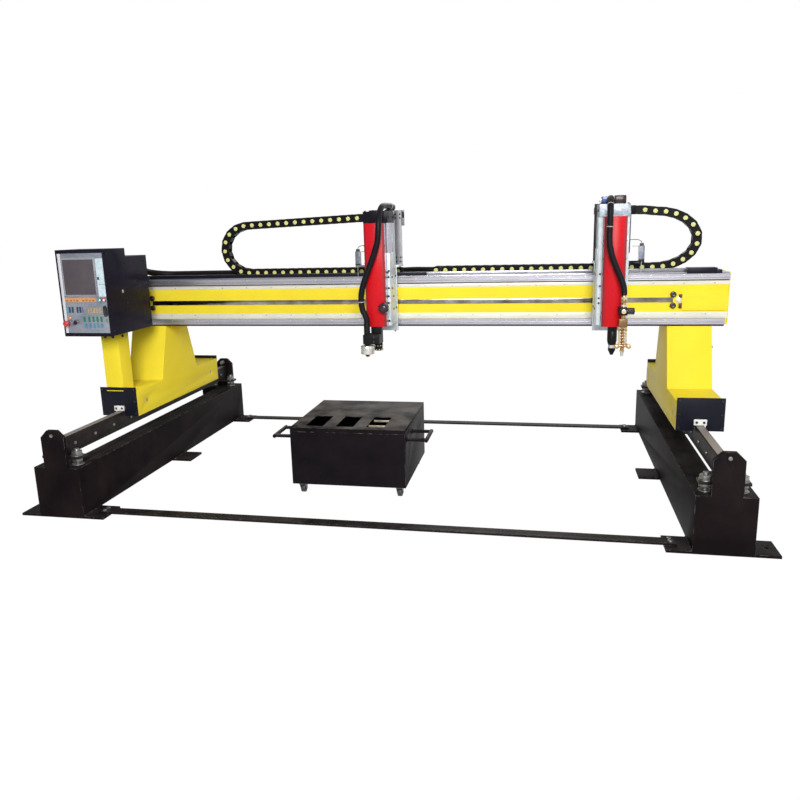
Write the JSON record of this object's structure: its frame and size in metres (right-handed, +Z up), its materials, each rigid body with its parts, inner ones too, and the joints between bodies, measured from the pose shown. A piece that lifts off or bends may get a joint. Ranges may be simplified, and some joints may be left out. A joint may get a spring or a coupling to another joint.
{
  "type": "gantry plasma cutting machine",
  "caption": "Gantry cutting machine: a yellow beam rolls on black floor tracks and carries torch lifters, drag chains and a control cabinet, with a wheeled slag cart between the tracks.",
  "frame": {"origin": "on the floor, midway between the two rails and midway along the tracks", "axes": "+X along the cross beam towards the operator's right, +Y along the tracks away from the operator, +Z up"},
  "size_m": [3.44, 1.932, 1.456],
  "materials": {
    "black_paint": "semi-gloss paint",
    "yellow_paint": "gloss paint",
    "red_paint": "semi-gloss paint",
    "panel_paint": "satin paint",
    "rail_steel": "ground, lightly oiled",
    "gear_steel": "machined",
    "bright_steel": "polished",
    "zinc_plate": "zinc plated",
    "aluminium": "satin, clear anodised",
    "wheel_rubber": "smooth",
    "black_plastic": "moulded, fine grain",
    "hose_rubber": "ribbed",
    "torch_plastic": "smooth",
    "brass": "polished",
    "red_plastic": "gloss",
    "green_plastic": "gloss"
  },
  "bodies": {
    "root": {"track_left": "black_paint", "track_right": "black_paint", "track_rails": "rail_steel", "gear_racks": "gear_steel", "tie_bars": "black_paint", "track_bolts": "zinc_plate", "slag_cart": "black_paint"},
    "gantry": {"end_carriage_left": "yellow_paint", "end_carriage_right": "yellow_paint", "carriage_covers": "black_paint", "gantry_motors": "black_paint", "cross_beam": "yellow_paint", "guide_rails": "aluminium", "beam_rack": "gear_steel", "steel_band": "bright_steel", "beam_end_covers": "yellow_paint", "cabinet_shell": "black_paint", "control_panel": "panel_paint", "supply_hose": "hose_rubber", "left_chain": "black_plastic", "right_chain": "black_plastic"},
    "caster_fork_front_left": {"caster_fork_front_left": "zinc_plate"},
    "caster_wheel_front_left": {"caster_wheel_front_left": "wheel_rubber"},
    "caster_fork_front_right": {"caster_fork_front_right": "zinc_plate"},
    "caster_wheel_front_right": {"caster_wheel_front_right": "wheel_rubber"},
    "caster_fork_rear_left": {"caster_fork_rear_left": "zinc_plate"},
    "caster_wheel_rear_left": {"caster_wheel_rear_left": "wheel_rubber"},
    "caster_fork_rear_right": {"caster_fork_rear_right": "zinc_plate"},
    "caster_wheel_rear_right": {"caster_wheel_rear_right": "wheel_rubber"},
    "rail_wheel_front_left": {"rail_wheel_front_left": "gear_steel"},
    "rail_wheel_front_right": {"rail_wheel_front_right": "gear_steel"},
    "rail_wheel_rear_left": {"rail_wheel_rear_left": "gear_steel"},
    "rail_wheel_rear_right": {"rail_wheel_rear_right": "gear_steel"},
    "drive_pinion_left": {"drive_pinion_left": "gear_steel"},
    "drive_pinion_right": {"drive_pinion_right": "gear_steel"},
    "emergency_stop": {"emergency_stop": "red_plastic"},
    "start_button": {"start_button": "green_plastic"},
    "stop_button": {"stop_button": "red_plastic"},
    "selector_knob": {"selector_knob": "black_plastic"},
    "speed_rocker": {"speed_rocker": "black_plastic"},
    "left_carriage": {"left_carriage_frame": "aluminium", "left_motors": "black_paint", "left_lifter_housing": "aluminium", "left_torch_hose": "hose_rubber"},
    "left_pinion": {"left_pinion": "gear_steel"},
    "left_lift": {"left_lift_slide": "red_paint", "left_torch": "torch_plastic"},
    "left_lift_screw": {"left_lift_screw": "bright_steel"},
    "right_carriage": {"right_carriage_frame": "aluminium", "right_motors": "black_paint", "right_lifter_housing": "aluminium", "right_torch_hose": "hose_rubber"},
    "right_pinion": {"right_pinion": "gear_steel"},
    "right_lift": {"right_lift_slide": "red_paint", "right_torches": "brass"},
    "right_lift_screw": {"right_lift_screw": "bright_steel"},
    "left_clamp_knob": {"left_clamp_knob": "black_plastic"},
    "right_clamp_knob": {"right_clamp_knob": "black_plastic"},
    "oxygen_valve_knob": {"oxygen_valve_knob": "brass"},
    "fuel_valve_knob": {"fuel_valve_knob": "brass"}
  },
  "joints": [
    {"name": "gantry_travel", "type": "slide", "parent": "root", "child": "gantry", "axis": [0, 1, 0], "range_m": [-0.5, 0.28]},
    {"name": "caster_swivel_front_left", "type": "hinge", "parent": "root", "child": "caster_fork_front_left", "pos_m": [-0.435, -0.486, 0.054], "axis": [0, 0, 1], "continuous": true},
    {"name": "caster_roll_front_left", "type": "hinge", "parent": "caster_fork_front_left", "child": "caster_wheel_front_left", "pos_m": [-0.435, -0.47, 0.023], "axis": [1, 0, 0], "continuous": true},
    {"name": "caster_swivel_front_right", "type": "hinge", "parent": "root", "child": "caster_fork_front_right", "pos_m": [0.075, -0.486, 0.054], "axis": [0, 0, 1], "continuous": true},
    {"name": "caster_roll_front_right", "type": "hinge", "parent": "caster_fork_front_right", "child": "caster_wheel_front_right", "pos_m": [0.075, -0.47, 0.023], "axis": [1, 0, 0], "continuous": true},
    {"name": "caster_swivel_rear_left", "type": "hinge", "parent": "root", "child": "caster_fork_rear_left", "pos_m": [-0.435, 0.024, 0.054], "axis": [0, 0, 1], "continuous": true},
    {"name": "caster_roll_rear_left", "type": "hinge", "parent": "caster_fork_rear_left", "child": "caster_wheel_rear_left", "pos_m": [-0.435, 0.04, 0.023], "axis": [1, 0, 0], "continuous": true},
    {"name": "caster_swivel_rear_right", "type": "hinge", "parent": "root", "child": "caster_fork_rear_right", "pos_m": [0.075, 0.024, 0.054], "axis": [0, 0, 1], "continuous": true},
    {"name": "caster_roll_rear_right", "type": "hinge", "parent": "caster_fork_rear_right", "child": "caster_wheel_rear_right", "pos_m": [0.075, 0.04, 0.023], "axis": [1, 0, 0], "continuous": true},
    {"name": "rail_roll_front_left", "type": "hinge", "parent": "gantry", "child": "rail_wheel_front_left", "pos_m": [-1.5, -0.2865, 0.428], "axis": [1, 0, 0], "continuous": true},
    {"name": "rail_roll_front_right", "type": "hinge", "parent": "gantry", "child": "rail_wheel_front_right", "pos_m": [1.5, -0.2865, 0.428], "axis": [1, 0, 0], "continuous": true},
    {"name": "rail_roll_rear_left", "type": "hinge", "parent": "gantry", "child": "rail_wheel_rear_left", "pos_m": [-1.5, 0.5135, 0.428], "axis": [1, 0, 0], "continuous": true},
    {"name": "rail_roll_rear_right", "type": "hinge", "parent": "gantry", "child": "rail_wheel_rear_right", "pos_m": [1.5, 0.5135, 0.428], "axis": [1, 0, 0], "continuous": true},
    {"name": "drive_turn_left", "type": "hinge", "parent": "gantry", "child": "drive_pinion_left", "pos_m": [-1.566, -0.1131, 0.34], "axis": [0, 0, 1], "continuous": true},
    {"name": "drive_turn_right", "type": "hinge", "parent": "gantry", "child": "drive_pinion_right", "pos_m": [1.566, -0.1131, 0.34], "axis": [0, 0, 1], "continuous": true},
    {"name": "emergency_stop_press", "type": "slide", "parent": "gantry", "child": "emergency_stop", "axis": [0, 1, 0], "range_m": [0, 0.004], "stiffness_N_per_m": 900, "springref_m": -0.001},
    {"name": "start_button_press", "type": "slide", "parent": "gantry", "child": "start_button", "axis": [0, 1, 0], "range_m": [0, 0.0025], "stiffness_N_per_m": 600, "springref_m": -0.001},
    {"name": "stop_button_press", "type": "slide", "parent": "gantry", "child": "stop_button", "axis": [0, 1, 0], "range_m": [0, 0.0025], "stiffness_N_per_m": 600, "springref_m": -0.001},
    {"name": "selector_turn", "type": "hinge", "parent": "gantry", "child": "selector_knob", "pos_m": [-1.611, -0.5245, 0.893], "axis": [0, 1, 0], "range_deg": [-45, 45]},
    {"name": "rocker_tip", "type": "hinge", "parent": "gantry", "child": "speed_rocker", "pos_m": [-1.431, -0.5225, 0.951], "axis": [1, 0, 0], "range_deg": [-8, 8]},
    {"name": "left_travel", "type": "slide", "parent": "gantry", "child": "left_carriage", "axis": [1, 0, 0], "range_m": [-0.95, 0.1], "deforming": ["left_chain"]},
    {"name": "left_pinion_turn", "type": "hinge", "parent": "left_carriage", "child": "left_pinion", "pos_m": [-0.06597, 0.0455, 1.085], "axis": [0, 0, 1], "continuous": true},
    {"name": "left_lift", "type": "slide", "parent": "left_carriage", "child": "left_lift", "axis": [0, 0, 1], "range_m": [-0.15, 0], "deforming": ["left_torch_hose"]},
    {"name": "left_screw_turn", "type": "hinge", "parent": "left_carriage", "child": "left_lift_screw", "pos_m": [-0.091, -0.1215, 1.1], "axis": [0, 0, 1], "continuous": true},
    {"name": "right_travel", "type": "slide", "parent": "gantry", "child": "right_carriage", "axis": [1, 0, 0], "range_m": [-0.8, 0.12], "deforming": ["right_chain"]},
    {"name": "right_pinion_turn", "type": "hinge", "parent": "right_carriage", "child": "right_pinion", "pos_m": [1.1027, 0.0455, 1.085], "axis": [0, 0, 1], "continuous": true},
    {"name": "right_lift", "type": "slide", "parent": "right_carriage", "child": "right_lift", "axis": [0, 0, 1], "range_m": [-0.15, 0], "deforming": ["right_torch_hose"]},
    {"name": "right_screw_turn", "type": "hinge", "parent": "right_carriage", "child": "right_lift_screw", "pos_m": [1.127, -0.1215, 1.1], "axis": [0, 0, 1], "continuous": true},
    {"name": "left_clamp_turn", "type": "hinge", "parent": "left_lift", "child": "left_clamp_knob", "pos_m": [-0.024, -0.2665, 0.933], "axis": [0, 1, 0], "range_deg": [-90, 360]},
    {"name": "right_clamp_turn", "type": "hinge", "parent": "right_lift", "child": "right_clamp_knob", "pos_m": [1.162, -0.3065, 0.916], "axis": [1, 0, 0], "range_deg": [-90, 360]},
    {"name": "oxygen_valve_turn", "type": "hinge", "parent": "right_lift", "child": "oxygen_valve_knob", "pos_m": [1.117, -0.3205, 0.751], "axis": [0, 1, 0], "range_deg": [0, 720]},
    {"name": "fuel_valve_turn", "type": "hinge", "parent": "right_lift", "child": "fuel_valve_knob", "pos_m": [1.171, -0.3205, 0.751], "axis": [0, 1, 0], "range_deg": [0, 720]}
  ],
  "couplings": [
    {"joint": "rail_roll_front_left", "follows": "gantry_travel", "rad_per_m": -23.81},
    {"joint": "rail_roll_front_right", "follows": "gantry_travel", "rad_per_m": -23.81},
    {"joint": "rail_roll_rear_left", "follows": "gantry_travel", "rad_per_m": -23.81},
    {"joint": "rail_roll_rear_right", "follows": "gantry_travel", "rad_per_m": -23.81},
    {"joint": "drive_turn_left", "follows": "gantry_travel", "rad_per_m": -37.037},
    {"joint": "drive_turn_right", "follows": "gantry_travel", "rad_per_m": 37.037},
    {"joint": "left_pinion_turn", "follows": "left_travel", "rad_per_m": -37.037},
    {"joint": "left_screw_turn", "follows": "left_lift", "rad_per_m": -628.32},
    {"joint": "right_pinion_turn", "follows": "right_travel", "rad_per_m": -37.037},
    {"joint": "right_screw_turn", "follows": "right_lift", "rad_per_m": -628.32}
  ]
}
